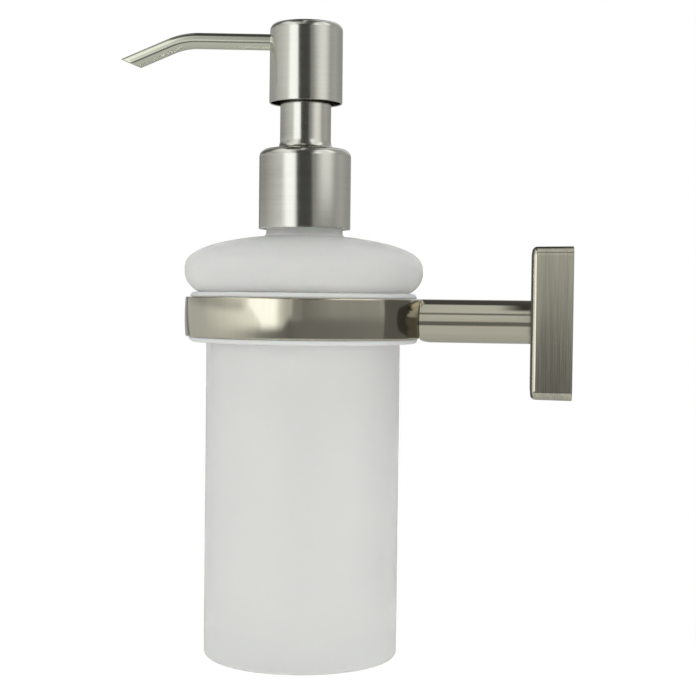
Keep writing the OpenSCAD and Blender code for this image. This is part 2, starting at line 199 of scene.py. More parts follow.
def install(piece, body, material, node):
    """Gives a piece its body, slot and material, and hides the CAD node that it stands for."""
    piece.data.materials.clear()
    piece.data.materials.append(material)
    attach(piece, body)
    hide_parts(node)
    return piece


# ---------------------------------------------------------------- node tools

class Shader:
    """A node tree with short calls to add and join nodes."""

    def __init__(self, tree):
        self.tree = tree
        self.tree.nodes.clear()

    def put(self, socket, value):
        """Links a socket to another one, or gives it a plain value."""
        if isinstance(value, bpy.types.NodeSocket):
            self.tree.links.new(value, socket)
        else:
            socket.default_value = value

    def add(self, kind, inputs=None, **settings):
        node = self.tree.nodes.new(kind)
        for key, value in settings.items():
            setattr(node, key, value)
        for key, value in (inputs or {}).items():
            self.put(node.inputs[key], value)
        return node

    def math(self, operation, a, b=0.0):
        return self.add("ShaderNodeMath", {0: a, 1: b}, operation=operation).outputs[0]

    def ramp(self, factor, stops):
        """A colour ramp from (position, colour or grey) stops."""
        node = self.add("ShaderNodeValToRGB", {"Fac": factor})
        band = node.color_ramp
        while len(band.elements) < len(stops):
            band.elements.new(1.0)
        for element, (position, colour) in zip(band.elements, stops):
            element.position = position
            element.color = (*colour, 1) if isinstance(colour, tuple) else (colour, colour, colour, 1)
        return node.outputs["Color"]

    def span(self, value, low, high, to_low=0.0, to_high=1.0, smooth=False):
        """Maps low to high onto to_low to to_high, and no further."""
        node = self.add("ShaderNodeMapRange", {0: value, 1: low, 2: high, 3: to_low, 4: to_high})
        node.interpolation_type = "SMOOTHSTEP" if smooth else "LINEAR"
        return node.outputs[0]

    def spread(self, noise, to_low=0.0, to_high=1.0, half=0.2):
        """Stretches the middle of a noise's range, half to each side of 0.5, onto to_low to to_high."""
        return self.span(noise, 0.5 - half, 0.5 + half, to_low, to_high)

    def mix(self, factor, a, b):
        """Mixes two colours, each a socket or three numbers."""
        node = self.add("ShaderNodeMix", {0: factor}, data_type="RGBA")
        for socket, value in ((node.inputs[6], a), (node.inputs[7], b)):
            self.put(socket, (*value, 1) if isinstance(value, tuple) else value)
        return node.outputs[2]

    def noise(self, scale, stretch=(1, 1, 1), detail=3.0, roughness=0.55, shift=(0, 0, 0)):
        """Noise over the piece's own coordinates in metres, stretched along the axes."""
        place = self.add("ShaderNodeTexCoord").outputs["Object"]
        mapping = self.add("ShaderNodeMapping", {"Vector": place, "Scale": stretch, "Location": shift})
        node = self.add("ShaderNodeTexNoise", {"Vector": mapping.outputs[0], "Scale": scale,
                                               "Detail": detail, "Roughness": roughness})
        return node.outputs["Fac"]

    def bump(self, height, distance, normal=None):
        inputs = {"Height": height, "Distance": distance}
        if normal:
            inputs["Normal"] = normal
        return self.add("ShaderNodeBump", inputs).outputs[0]


class Surface(Shader):
    """A new material with one Principled node. Constants go straight on that node's sockets."""

    def __init__(self, name, **principled):
        self.material = bpy.data.materials.new(name)
        self.material.use_nodes = True
        super().__init__(self.material.node_tree)
        self.bsdf = self.add("ShaderNodeBsdfPrincipled")
        for key, value in principled.items():
            self.bsdf.inputs[key.replace("_", " ")].default_value = value
        self.add("ShaderNodeOutputMaterial", {"Surface": self.bsdf.outputs[0]})

    def give(self, socket, source):
        """Links a source to one of the Principled node's sockets."""
        self.put(self.bsdf.inputs[socket], source)


# ---------------------------------------------------------------- materials

# Noise scales that draw the grain along an axis, round the bottle's axis, or nowhere
GRAIN = {
    "y": (2600, 40, 2600),
    "z": (2600, 2600, 50),
    "round": (90, 90, 3200),
    "even": (1500, 1500, 1500),
}


def brushed_metal(name, tint, along, roughness, grain, scratch, spots, wave=0.0):
    """Plated or stainless metal. grain is how far its roughness varies, spots how far its tint does, and
    scratch and wave are the depths in metres of its fine lines and of its slow swell."""
    metal = Surface(name, Metallic=1.0)
    fine_share, broad_share, middle = 0.65, 0.35, 0.15
    fine = GRAIN[along]
    broad = tuple(v / 9 for v in fine)
    fine_noise = metal.noise(1.0, fine, detail=4.0, roughness=0.6)
    broad_noise = metal.noise(1.0, broad, detail=2.0, roughness=0.5, shift=(3.1, 1.7, 0.4))
    lines = metal.math("ADD", metal.math("MULTIPLY", fine_noise, fine_share),
                       metal.math("MULTIPLY", broad_noise, broad_share))
    cloud = metal.noise(45.0, shift=(0.3, 0.8, 0.1))
    dark = tuple(v * (1 - spots * 2) for v in tint)
    light = tuple(min(1.0, v * (1 + spots)) for v in tint)
    streaks = metal.mix(metal.spread(lines, half=middle), dark, light)
    clouded = tuple(v * 0.985 for v in tint)
    metal.give("Base Color", metal.mix(metal.spread(cloud, 0.0, 0.35), streaks, clouded))
    lined = metal.spread(lines, roughness - grain / 2, roughness + grain / 2, middle)
    metal.give("Roughness", metal.math("ADD", lined, metal.spread(cloud, -0.01, 0.015, middle)))
    swell = metal.bump(metal.noise(70.0, detail=1.0, shift=(0.5, 0.2, 0.9)), wave)
    metal.give("Normal", metal.bump(lines, scratch, swell))
    return metal.material


def frosted_glass():
    """Clear glass, acid-etched outside to an even matt, with painted light near the ring and, a little less,
    over the bulge, and painted shade in the thick base.
    """
    glass = Surface("frosted_glass", IOR=1.5, Transmission_Weight=0.75)
    etch = glass.noise(2600.0, detail=4.0, roughness=0.7)
    cloud = glass.noise(30.0, detail=2.0)
    place = glass.add("ShaderNodeTexCoord").outputs["Object"]
    height = glass.add("ShaderNodeSeparateXYZ", {0: place}).outputs[2]
    tint = glass.mix(glass.spread(cloud), (0.925, 0.928, 0.914), (0.936, 0.939, 0.925))
    # Painted light near the ring and, a little less, over the bulge, and painted shade in the thick base,
    # each from one height to another in metres
    for start, full, colour in (
            (-0.024, -0.009, (1.0, 1.0, 0.99)),
            (0.010, 0.018, (0.965, 0.968, 0.955)),
            (-0.102, -0.105, (0.90, 0.905, 0.89))):
        tint = glass.mix(glass.span(height, start, full, smooth=True), tint, colour)
    glass.give("Base Color", tint)
    glass.give("Roughness", glass.spread(etch, 0.62, 0.74))
    glass.give("Normal", glass.bump(etch, 6e-6))
    return glass.material


def soft_plastic(name, tint, roughness, transmission=0.0, weight=0.0, texture=5e-6, scale=1500.0):
    """Moulded plastic with a fine mould texture and slight flow marks."""
    plastic = Surface(name, IOR=1.48, Transmission_Weight=transmission, Subsurface_Weight=weight,
                      Subsurface_Scale=0.002)
    mould = plastic.noise(scale, roughness=0.6)
    flow = plastic.noise(70.0, (1, 1, 0.35), detail=2.0)
    dull = tuple(v * 0.955 for v in tint)
    plastic.give("Base Color", plastic.mix(plastic.spread(flow), dull, tint))
    plastic.give("Roughness", plastic.spread(mould, roughness - 0.05, roughness + 0.06))
    plastic.give("Normal", plastic.bump(mould, texture))
    return plastic.material


def cast_zinc():
    """Raw die-cast zinc, softly mottled."""
    zinc = Surface("cast_zinc", Metallic=1.0)
    mottle = zinc.noise(260.0, detail=5.0, roughness=0.65)
    pits = zinc.noise(1400.0, detail=2.0)
    zinc.give("Base Color", zinc.mix(zinc.spread(mottle), (0.46, 0.47, 0.48), (0.60, 0.61, 0.61)))
    zinc.give("Roughness", zinc.spread(mottle, 0.38, 0.52))
    zinc.give("Normal", zinc.bump(zinc.math("ADD", mottle, pits), 2e-5))
    return zinc.material


def pale_floor():
    """A matt, nearly white studio floor with a faint cloudiness."""
    paper = Surface("pale_floor", Roughness=0.9)
    tone = paper.spread(paper.noise(4.0))
    paper.give("Base Color", paper.mix(tone, (0.985, 0.985, 0.985), (0.99, 0.99, 0.99)))
    return paper.material


NICKEL_TINT = (0.675, 0.65, 0.522)
SPOUT_TINT = (0.73, 0.745, 0.62)
STEEL_TINT = (0.652, 0.652, 0.582)
SCREW_TINT = (0.47, 0.47, 0.45)
SPRING_TINT = (0.6, 0.6, 0.6)


METALS = {
    "nickel_round": dict(tint=NICKEL_TINT, along="z", roughness=0.1, grain=0.04, scratch=1.2e-6,
                         spots=0.02, wave=3e-5),
    "nickel_flat": dict(tint=NICKEL_TINT, along="z", roughness=0.1, grain=0.04, scratch=8e-6, spots=0.17),
    "nickel_bent": dict(tint=SPOUT_TINT, along="even", roughness=0.13, grain=0.03, scratch=3e-7,
                        spots=0.015),
    "nickel_long": dict(tint=NICKEL_TINT, along="y", roughness=0.1, grain=0.04, scratch=1e-6,
                        spots=0.02, wave=8e-5),
    "steel_turned": dict(tint=STEEL_TINT, along="round", roughness=0.165, grain=0.05, scratch=3e-6,
                         spots=0.035),
    "screw_steel": dict(tint=SCREW_TINT, along="round", roughness=0.3, grain=0.1, scratch=4e-6, spots=0.05),
    "spring_steel": dict(tint=SPRING_TINT, along="round", roughness=0.2, grain=0.06, scratch=1e-6,
                         spots=0.02),
}

PLASTICS = {
    "liner_plastic": dict(tint=(0.88, 0.872, 0.86), roughness=0.4, transmission=0.2, weight=0.3),
    "white_plastic": dict(tint=(0.86, 0.86, 0.83), roughness=0.4, weight=0.2),
    "clear_plastic": dict(tint=(0.88, 0.9, 0.9), roughness=0.28, transmission=0.75),
    "piston_plastic": dict(tint=(0.68, 0.69, 0.69), roughness=0.45, weight=0.1),
    "seal_rubber": dict(tint=(0.72, 0.72, 0.69), roughness=0.75, texture=2e-5, scale=900.0),
}


def make_materials():
    """Every material by name."""
    looks = {name: brushed_metal(name, **look) for name, look in METALS.items()}
    looks["cast_zinc"] = cast_zinc()
    looks["frosted_glass"] = frosted_glass()
    for name, look in PLASTICS.items():
        looks[name] = soft_plastic(name, **look)
    return looks


# ---------------------------------------------------------------- flange

FLANGE_WALL = 3.0


def flange_cup(half, depth):
    """A hollow square cup with rounded corners and front edge, its back open to the wall."""
    corner_r, inner_r, edge_r, draft, bevel = 3.1, 2.0, 1.7, 0.2, 0.25
    bm = bmesh.new()

    def loop(inset, y, radius):
        reach = half - inset - radius
        row = []
        for turn, (sx, sz) in enumerate(((1, 1), (-1, 1), (-1, -1), (1, -1))):
            for x, z in arc(sx * reach, sz * reach, radius, 90 * turn, 90 * turn + 90, 14):
                row.append(bm.verts.new((x, y, z)))
        return row

    rows = [
        loop(FLANGE_WALL, FLANGE_WALL - depth, inner_r),
        loop(FLANGE_WALL, 0, inner_r),
        loop(bevel, 0, corner_r - bevel),
        loop(0, -bevel, corner_r),
    ]
    for t in quarter(10):
        inset = draft + edge_r - edge_r * math.cos(t)
        rows.append(loop(inset, edge_r - depth - edge_r * math.sin(t), corner_r - inset))
    stitched(bm, rows)
    bm.faces.new(rows[0])
    bm.faces.new(rows[-1])
    return finished("flange_cup", bm)


def make_flange():
    """The cup with its hook over the bracket, its boss for the set screw, and both screw holes."""
    low, high = span("flange")
    half, depth = high.x, -low.y
    inside = half - FLANGE_WALL
    hook = span("wall_bracket")[1].z
    overlap, boss_half, arm_screw_r = 0.5, 4.5, 3.2
    hook_front, hook_back = -9.0, -3.0
    boss_front, boss_back, boss_top = 1.0 - depth, -1.5, -hook - 1
    flange = flange_cup(half, depth)
    hook_block = block("hook", (-hook / 2, hook_front, hook), (hook / 2, hook_back, inside + overlap))
    combine(flange, hook_block, "UNION")
    boss_block = block("boss", (-boss_half, boss_front, -inside - overlap), (boss_half, boss_back, boss_top))
    combine(flange, boss_block, "UNION")
    combine(flange, rod("screw_hole", arm_screw_r, -depth - 1, 0))
    screw_low, screw_high = span("flange_set_screw")
    place = Matrix.Translation((0, (screw_low.y + screw_high.y) / 2, -half))
    return combine(flange, cone("set_screw_hole", screw_high.x, screw_high.x, half / 2, place, 48))


# ---------------------------------------------------------------- ring and arm

def ring_reach(z):
    """Outer radius of the slightly barrelled ring at height z."""
    half = (RING_HIGH.z - RING_LOW.z) / 2
    barrel = 0.3
    return RING_R - barrel * min(1.0, abs(z - RING_MID) / half) ** 2


def ring_band():
    """The band: barrelled outside, flat inside, with finely rounded edges."""
    edge, bevel, steps = 0.55, 0.2, 14
    inner = RING_R - RING_WALL
    top, bottom = RING_HIGH.z, RING_LOW.z
    wall = []
    for _, z in rise(RING_R, bottom + edge, top - edge, steps):
        wall.append((ring_reach(z), z))
    outline = [(inner, bottom + bevel), (inner + bevel, bottom)]
    outline += arc(wall[0][0] - edge, bottom + edge, edge, -90, -6, 6)
    outline += wall
    outline += arc(wall[-1][0] - edge, top - edge, edge, 6, 90, 6)
    outline += [(inner + bevel, top), (inner, top - bevel)]
    return lathe("ring_band", outline, 256)


def make_ring():
    """The band with a countersunk way for the screw into the arm."""
    ring = ring_band()
    low, high = span("ring_screw")
    shank_r, sink = 2.5, 2.1
    place = Matrix.Translation((0, low.y + sink / 2, 0)) @ UP_TO_Y
    combine(ring, cone("countersink", high.x, shank_r, sink, place))
    combine(ring, rod("screw_way", shank_r, low.y + 1, high.y))
    return combine(ring, rod("screw_entry", high.x, low.y - 2, low.y + 0.001))


def arm_end(x, z):
    """Where an arm's point at x and z meets the ring's outside, along Y."""
    reach = ring_reach(max(min(z, RING_HIGH.z), RING_LOW.z))
    return AXIS_Y + math.sqrt(reach * reach - x * x)


def make_arm():
    """The round arm, its inner end shaped to the ring, relieved under the ring's lower edge."""
    high = span("arm")[1]
    r, start = high.x, high.y
    fillet, lift = 0.35, 0.15
    relief_long, relief_high = 4.6, r + RING_LOW.z
    around = all_round(192)
    # Shares of the arm's length that have a row, closest together near the ring
    stations = [i / 26 * 0.9 for i in range(13)]
    stations += [0.9 + i / 12 * 0.1 for i in range(1, 12)]
    bm = bmesh.new()
    rows = []
    for share in stations:
        row = []
        for a in around:
            x, z = r * math.cos(a), r * math.sin(a)
            y_end = arm_end(x, z)
            y = start + (y_end - start) * share
            beyond = max(0.0, min(1.0, 1 - (y - y_end) / relief_long))
            floor = RING_LOW.z - relief_high * math.sqrt(max(0.0, 1 - beyond * beyond)) + lift * beyond
            row.append(bm.verts.new((x, y, max(z, floor))))
        rows.append(row)
    for t in quarter(6):
        inset = fillet * (1 - math.cos(t))
        row = []
        for a in around:
            x, z = (r - inset) * math.cos(a), (r - inset) * math.sin(a)
            y = arm_end(x, z) + fillet * (1 - math.sin(t))
            row.append(bm.verts.new((x, y, max(z, RING_LOW.z + lift + inset))))
        rows.append(row)
    rows.append([bm.verts.new((0, arm_end(0, 0), 0))])
    stitched(bm, rows)
    bm.faces.new(rows[0])
    return finished("arm_rod", bm, 40)


def make_liner():
    """The soft insert: a bead above the ring that seats the bottle, and a lip below."""
    low, high = span("ring_liner")
    inner, bead_r, gap = 33.5, 38.8, 0.05
    lip_r, lip_edge, lip_top = -low.x, 1.5, 0.3
    bead_edge, bead_foot, seat_r, foot_edge, mouth_edge = 1.3, 0.25, 0.45, 0.4, 0.5
    outer = RING_R - RING_WALL - gap
    ring_low, ring_high = RING_LOW.z - gap, RING_HIGH.z + gap
    seat = high.z - seat_r
    outline = arc(inner + foot_edge, low.z + foot_edge, foot_edge, 180, 270, 4)
    outline += arc(lip_r - lip_edge, low.z + lip_edge, lip_edge, -90, -8, 8)
    outline += arc(lip_r - lip_top, ring_low - lip_top, lip_top, 0, 90, 4)
    outline += [(outer, ring_low), (outer, ring_high)]
    outline += arc(bead_r - bead_foot, ring_high + bead_foot, bead_foot, -90, 0, 4)
    outline += arc(bead_r - bead_edge, high.z - bead_edge, bead_edge, 0, 90, 8)
    outline += arc(bead_r - 2 * bead_edge, seat + seat_r, seat_r, 60, -90, 6)[2:]
    outline += arc(inner + mouth_edge, seat - mouth_edge, mouth_edge, 90, 180, 5)
    return lathe("liner_cuff", outline)


# ---------------------------------------------------------------- bottle

BOTTLE_LOW, BOTTLE_HIGH = span("bottle")
BODY_R = 33.2
GLASS = 2.6
BULGE_R = BOTTLE_HIGH.x
BULGE_Z = 16.4
BULGE_UP = 12
BULGE_DOWN = 7.8
BODY_TOP = BULGE_Z - BULGE_DOWN
SHOULDER_R = 11.6
NECK_Z = BULGE_Z + BULGE_UP
NECK_R = 13.1
FINISH_R = 12.5
CREST_R = 13.7
MOUTH_R = 9.6
LIP_R = 0.5
THREAD_PITCH = 4.233
THREAD_TURNS = 1.5


def bulge_upper(wall, steps):
    """From the bulge's widest place up to the shoulder, a wall's thickness inside the outer skin."""
    points = []
    for i in range(steps + 1):
        t = math.radians(78 * i / steps)
        r = SHOULDER_R + (BULGE_R - wall - SHOULDER_R) * math.cos(t) ** 1.4
        points.append((r, BULGE_Z + (BULGE_UP - wall) * math.sin(t) ** 0.74))
    return points


def bulge_lower(wall, steps):
    """From the body up to just under the bulge's widest place."""
    points = []
    for i in range(steps):
        t = math.radians(90 - 90 * i / steps)
        r = BODY_R - wall + (BULGE_R - BODY_R) * math.cos(t)
        points.append((r, BULGE_Z - BULGE_DOWN * math.sin(t)))
    return points


def neck_thread(r, z, angle):
    """Adds a rounded thread with faded ends to the neck finish."""
    top = BOTTLE_HIGH.z - 1.6
    half_width, fade_turns, steep, flat_top = 0.95, 0.12, 2.2, 1.15
    if abs(r - FINISH_R) > 1e-3 or not top - 8 < z < top + 1.5:
        return r
    best = r
    for turn in range(2):
        along = turn + angle / (2 * math.pi)
        if along > THREAD_TURNS:
            continue
        centre = top - THREAD_PITCH * (THREAD_TURNS - along)
        fade = min(1.0, min(along, THREAD_TURNS - along) / fade_turns)
        height = max(0.0, 1 - (abs(z - centre) / half_width) ** steep)
        best = max(best, r + (CREST_R - FINISH_R) * min(1.0, flat_top * height) * fade)
    return best


def bottle_outside(base, rim):
    """Outline from the middle of the dished underside up to the mouth."""
    foot_r, foot_edge, heel, neck_fillet = 29.4, 0.4, 1.8, 1.2
    outline = [(0, base + 1.1), (10, base + 1.0), (20, base + 0.75), (27, base + 0.35)]
    outline += arc(foot_r, base + foot_edge, foot_edge, -110, -90, 2)
    outline += arc(BODY_R - heel, base + heel, heel, -90, 0, 10)
    outline += rise(BODY_R, base + heel + 0.4, BODY_TOP - 0.2, 14)
    outline += bulge_lower(0, 20) + bulge_upper(0, 26)
    outline += arc(NECK_R + neck_fillet, NECK_Z + 1.1, neck_fillet, 262, 185, 5)
    outline += [(NECK_R, NECK_Z + 1.6), (NECK_R, NECK_Z + 2.9), (NECK_R - 0.2, NECK_Z + 3.1)]
    outline += rise(FINISH_R, NECK_Z + 3.4, rim - LIP_R - 0.05, 60)
    return outline + arc(FINISH_R - LIP_R, rim - LIP_R, LIP_R, 0, 90, 4)


def bottle_inside(base, rim):
    """Outline from the mouth down to the middle of the thick floor."""
    inner, floor_edge, floor_high, neck_edge = BODY_R - GLASS, 5, 6, 1.6
    outline = arc(MOUTH_R + LIP_R, rim - LIP_R, LIP_R, 90, 180, 4)
    outline += rise(MOUTH_R, rim - 1.5, NECK_Z - 0.2, 8)
    outline += arc(MOUTH_R + neck_edge, NECK_Z - 0.9, neck_edge, 180, 245, 4)
    outline += list(reversed(bulge_upper(GLASS, 22)))[1:]
    outline += list(reversed(bulge_lower(GLASS, 16)))
    outline += rise(inner, BODY_TOP - 0.4, base + floor_high + floor_edge + 0.5, 12)
    corner = arc(inner - floor_edge, base + floor_high + floor_edge, floor_edge, -90, 0, 10)
    outline += list(reversed(corner))
    return outline + [(18, base + 5.9), (8, base + 5.8), (0, base + 5.8)]


def make_bottle():
    """The turned glass bottle, with its wall, thick floor, bulge and threaded neck."""
    base, rim = BOTTLE_LOW.z, BOTTLE_HIGH.z
    outline = bottle_outside(base, rim) + bottle_inside(base, rim)
    return lathe("bottle_glass", outline, 192, reach=neck_thread)


# ---------------------------------------------------------------- pump

def make_collar():
    """The pressed collar cap: straight skirt, rolled lower rim, rounded shoulder."""
    low, high = span("collar_shell")
    r = high.x
    wall, shoulder, rim, hole, bevel = 0.7, 2.8, 0.24, 8.75, 0.2
    outline = arc(r - rim, low.z + rim, rim, -180, 0, 10)
    outline += rise(r, low.z + 1.0, high.z - shoulder - 0.4, 3)
    outline += arc(r - shoulder, high.z - shoulder, shoulder, 0, 90, 14)
    outline += [(hole + 0.3, high.z), (hole, high.z - bevel), (hole, high.z - wall)]
    outline += arc(r - shoulder, high.z - shoulder, shoulder - wall, 90, 0, 8)
    outline += [(r - wall, low.z + 2)]
    return lathe("collar_cap", outline)


def make_sleeve():
    """The tube over the stem guide, flared where it stands on the collar."""
    low, high = span("collar_sleeve")
    foot, r, wall, edge = high.x, 8.7, 0.7, 0.2
    flare_top, flare_high = 3.2, 2.9
    collar_top = span("collar_shell")[1].z
    flare = []
    for t in quarter(10):
        flare.append((foot - (foot - r) * math.sin(t), collar_top + flare_top - flare_high * math.cos(t)))
    outline = [(r - wall, low.z), (r, low.z), (r, collar_top), (foot - 0.1, collar_top)] + flare
    outline += rise(r, collar_top + 4, high.z - edge - 0.05, 4)
    outline += arc(r - edge, high.z - edge, edge, 0, 90, 4) + [(r - wall, high.z)]
    return lathe("collar_neck", outline)


SPOUT_R = 2.75
SPOUT_BORE = 1.95
SPOUT_Z = 94.4
SPOUT_STRAIGHT = 37.5
SPOUT_BEND_R = 23.5
SPOUT_TURN = math.radians(23.7)
SPOUT_SLOPE = math.radians(1.5)
SPOUT_NOSE = 15.5
SPOUT_LENGTH = SPOUT_STRAIGHT + SPOUT_BEND_R * SPOUT_TURN + SPOUT_NOSE


def spout_frame(s):
    """Centre and direction of the spout's centre line at distance s from the head's axis."""
    past_bend = s - SPOUT_STRAIGHT - SPOUT_BEND_R * SPOUT_TURN
    if s <= SPOUT_STRAIGHT:
        x, z, a = s, 0.0, 0.0
    elif past_bend <= 0:
        a = (s - SPOUT_STRAIGHT) / SPOUT_BEND_R
        x, z = SPOUT_STRAIGHT + SPOUT_BEND_R * math.sin(a), -SPOUT_BEND_R * (1 - math.cos(a))
    else:
        a = SPOUT_TURN
        x = SPOUT_STRAIGHT + SPOUT_BEND_R * math.sin(a) + past_bend * math.cos(a)
        z = -SPOUT_BEND_R * (1 - math.cos(a)) - past_bend * math.sin(a)
    a -= SPOUT_SLOPE
    out = x * math.cos(SPOUT_SLOPE) - z * math.sin(SPOUT_SLOPE)
    up = x * math.sin(SPOUT_SLOPE) + z * math.cos(SPOUT_SLOPE)
    return Vector((0, AXIS_Y - out, SPOUT_Z + up)), Vector((0, -math.cos(a), -math.sin(a)))


def make_spout():
    """The bent tube, with a slanting mouth and finely rounded lips."""
    root, lip, steps = 4.0, 0.18, 64
    stations = [root + (SPOUT_LENGTH - root) * i / steps for i in range(steps)]
    side = Vector((1, 0, 0))
    bm = bmesh.new()

    def row(s, r, back=0.0):
        """A loop of the tube; near the mouth it slants with the cut."""
        centre, ahead = spout_frame(s)
        up = ahead.cross(side).normalized()
        mouth = max(0.0, (s - (SPOUT_LENGTH - SPOUT_NOSE)) / SPOUT_NOSE)
        loop = []
        for a in all_round(SMALL_ROUND):
            lift = r * math.sin(a)
            slide = lift * mouth - back
            loop.append(bm.verts.new(centre + side * (r * math.cos(a)) + up * lift + ahead * slide))
        return loop

    rows = [row(s, SPOUT_R) for s in stations]
    for t in quarter(4):
        rows.append(row(SPOUT_LENGTH, SPOUT_R - lip * (1 - math.cos(t)), lip * (1 - math.sin(t))))
    for t in quarter(4):
        rows.append(row(SPOUT_LENGTH, SPOUT_BORE + lip * (1 - math.sin(t)), lip * (1 - math.cos(t))))
    rows += [row(s, SPOUT_BORE) for s in reversed(stations)]
    stitched(bm, rows, closed_rows=True)
    return finished("spout_tube", bm)


def make_head():
    """The pressed head cap, open below, pierced for the spout."""
    low, high = span("head_shell")
    r = high.x
    edge, rim, draft, wall, top_wall, clearance = 2.3, 0.28, 0.08, 0.6, 0.8, 0.02
    outline = arc(r - rim, low.z + rim, rim, -180, 0, 10)
    for share in (0.2, 0.4, 0.6, 0.8):
        outline.append((r - draft * share, low.z + rim + (high.z - edge - low.z - rim) * share))
    outline += arc(r - draft - edge, high.z - edge, edge, 0, 90, 14)
    outline += [(5, high.z), (0, high.z), (0, high.z - top_wall)]
    outline += arc(r - draft - edge, high.z - top_wall - edge + wall, edge - wall, 90, 0, 8)
    outline += [(r - wall, low.z + 2)]
    head = lathe("head_cap", outline)
    centre, ahead = spout_frame(r)
    turn = Vector((0, 0, 1)).rotation_difference(ahead).to_matrix().to_4x4()
    hole_r = SPOUT_R + clearance
    return combine(head, cone("spout_hole", hole_r, hole_r, 12, Matrix.Translation(centre) @ turn))


def make_spring():
    """The return spring: round wire, open turns between closed and ground ends."""
    low, high = span("return_spring")
    wire = 0.45
    r = high.x - wire
    turns, per_turn, sides = 9, 40, 14
    closed = 2 * wire + 0.1
    bottom, top = low.z + wire, high.z - wire
    rising = top - bottom - 2 * closed
    bm = bmesh.new()
    rows = []
    for i in range(turns * per_turn + 1):
        turn = i / per_turn
        height = closed * (min(turn, 1) + max(0, turn - turns + 1))
        height += rising * max(0, min(1, (turn - 1) / (turns - 2)))
        a = 2 * math.pi * turn
        out = Vector((math.cos(a), math.sin(a), 0))
        centre = Vector((0, AXIS_Y, bottom + height)) + out * r
        row = []
        for b in all_round(sides):
            point = centre + out * (wire * math.cos(b)) + Vector((0, 0, wire * math.sin(b)))
            row.append(bm.verts.new(point))
        rows.append(row)
    stitched(bm, rows)
    bm.faces.new(rows[0])
    bm.faces.new(rows[-1])
    return finished("return_coil", bm, 60)


# ---------------------------------------------------------------- camera

CAMERA_PLACE = (0.5183, -0.0159, 0.00739)
CAMERA_LENS = 78.75
SENSOR_WIDTH = 36
HEADING = math.radians(6.56)
TILT = math.radians(1.87)
ROLL = math.radians(0.674)


def make_camera():
    """The photograph's viewpoint: from the +X side, looking a little down and away from the wall."""
    level = Vector((-math.cos(HEADING), -math.sin(HEADING), 0))
    ahead = level * math.cos(TILT) - Vector((0, 0, math.sin(TILT)))
    right = ahead.cross(Vector((0, 0, 1))).normalized()
    up = right.cross(ahead)
    across = right * math.cos(ROLL) + up * math.sin(ROLL)
    upward = up * math.cos(ROLL) - right * math.sin(ROLL)
    data = bpy.data.cameras.new("camera")
    data.sensor_width = SENSOR_WIDTH
    data.lens = CAMERA_LENS
    data.clip_start = 0.01
    camera = link("camera", data)
    turn = Matrix((across, upward, -ahead)).transposed().to_4x4()
    camera.matrix_world = Matrix.Translation(CAMERA_PLACE) @ turn
    bpy.context.scene.camera = camera


# ---------------------------------------------------------------- studio bands

# Bands are lists of (angle in degrees, brightness). Four angles place a band: azimuth, round the vertical
# from +X towards +Y; elevation, up from level; side, up towards +Y; over, round Y from +X over the top.
SOFTBOX = (1.50, 1.52, 1.57)

# Level with the object, round the vertical
HORIZON = [
    (-180, 0.40), (-149, 0.40), (-147, 0.17), (-143, 0.17), (-140, 0.50), (-102, 0.57), (-83, 0.74),
    (-70, 0.84), (-57, 0.96), (-46, 1.02), (-37, 1.08), (-36, SOFTBOX), (-19, SOFTBOX), (-13.5, 0.80),
    (-8, 0.55), (1, 0.57), (5, 0.21), (14, 0.24), (22, 0.28), (36, 0.34), (70, 0.34), (84, 0.36), (96, 0.48),
    (112, 0.52), (126, 0.44), (150, 0.36), (180, 0.38)]

# Just under the level, round the vertical
LOW_BAND = [
    (-180, 0.42), (-90, 0.56), (-70, 0.58), (-52, 0.48), (-44, 0.40), (-35, 0.30), (-27, 0.23), (-19, 0.20),
    (-4, 0.15), (2, 0.18), (30, 0.19), (90, 0.23), (110, 0.30), (140, 0.42), (180, 0.42)]

# Above, by side: the camera's half and the far half
BESIDE = [
    (-90, 0.40), (-66, 0.50), (-52, 0.85), (-40, 1.00), (-35, 1.18), (-27, 1.18), (-21, 0.78), (-17, 0.60),
    (-10, 0.50), (-6, 0.13), (4, 0.10), (22, 0.11), (28, 0.60), (35, SOFTBOX), (56, SOFTBOX), (68, 0.50),
    (90, 0.40)]
BEHIND = [
    (-90, 0.50), (-62, 0.50), (-56, 0.15), (-31, 0.15), (-23, 0.90), (-15, 0.95), (-12, 0.30), (5, 0.30),
    (9, 0.85), (15, 0.85), (24, 0.45), (90, 0.40)]

# Round Y: how the spout's side is shaded above, the strip over the arm, and the floor
OVER_SPOUT = [
    (-180, 1.0), (66, 1.0), (76, 0.12), (104, 0.12), (114, 0.30), (164, 0.30), (174, 0.9), (180, 1.0)]
OVER_ARM = [
    (-180, 0.40), (0, 0.60), (33, 0.64), (37, 0.18), (43, 0.18), (47, 0.64), (96, 0.62), (102, 0.07),
    (146, 0.07), (156, 0.30), (180, 0.40)]
FLOOR_SIDE = [(-180, 0.40), (-120, 0.47), (-60, 0.56), (0, 0.57), (180, 0.40)]

# How far the level bands on the side away from the wall are dimmed, by elevation
SIDE_DIMMER = [(1.5, 0.0), (4.2, 0.41), (5.5, 0.41), (8.0, 0.15)]


def banded(shader, angle, stops, low=-180.0, high=180.0):
    """A ramp over an angle, from stops in degrees."""
    placed = [((a - low) / (high - low), value) for a, value in stops]
    return shader.ramp(shader.span(angle, low, high), placed)


def sky_angles(shader):
    """The four angles of a direction in the world, in degrees, and its height z."""
    direction = shader.add("ShaderNodeTexCoord").outputs["Generated"]
    x, y, z = shader.add("ShaderNodeSeparateXYZ", {"Vector": direction}).outputs

    def degrees(operation, a, b=0.0):
        return shader.math("MULTIPLY", shader.math(operation, a, b), 180 / math.pi)

    return SimpleNamespace(azimuth=degrees("ARCTAN2", y, x), elevation=degrees("ARCSINE", z),
                           side=degrees("ARCSINE", y), over=degrees("ARCTAN2", z, x), z=z)


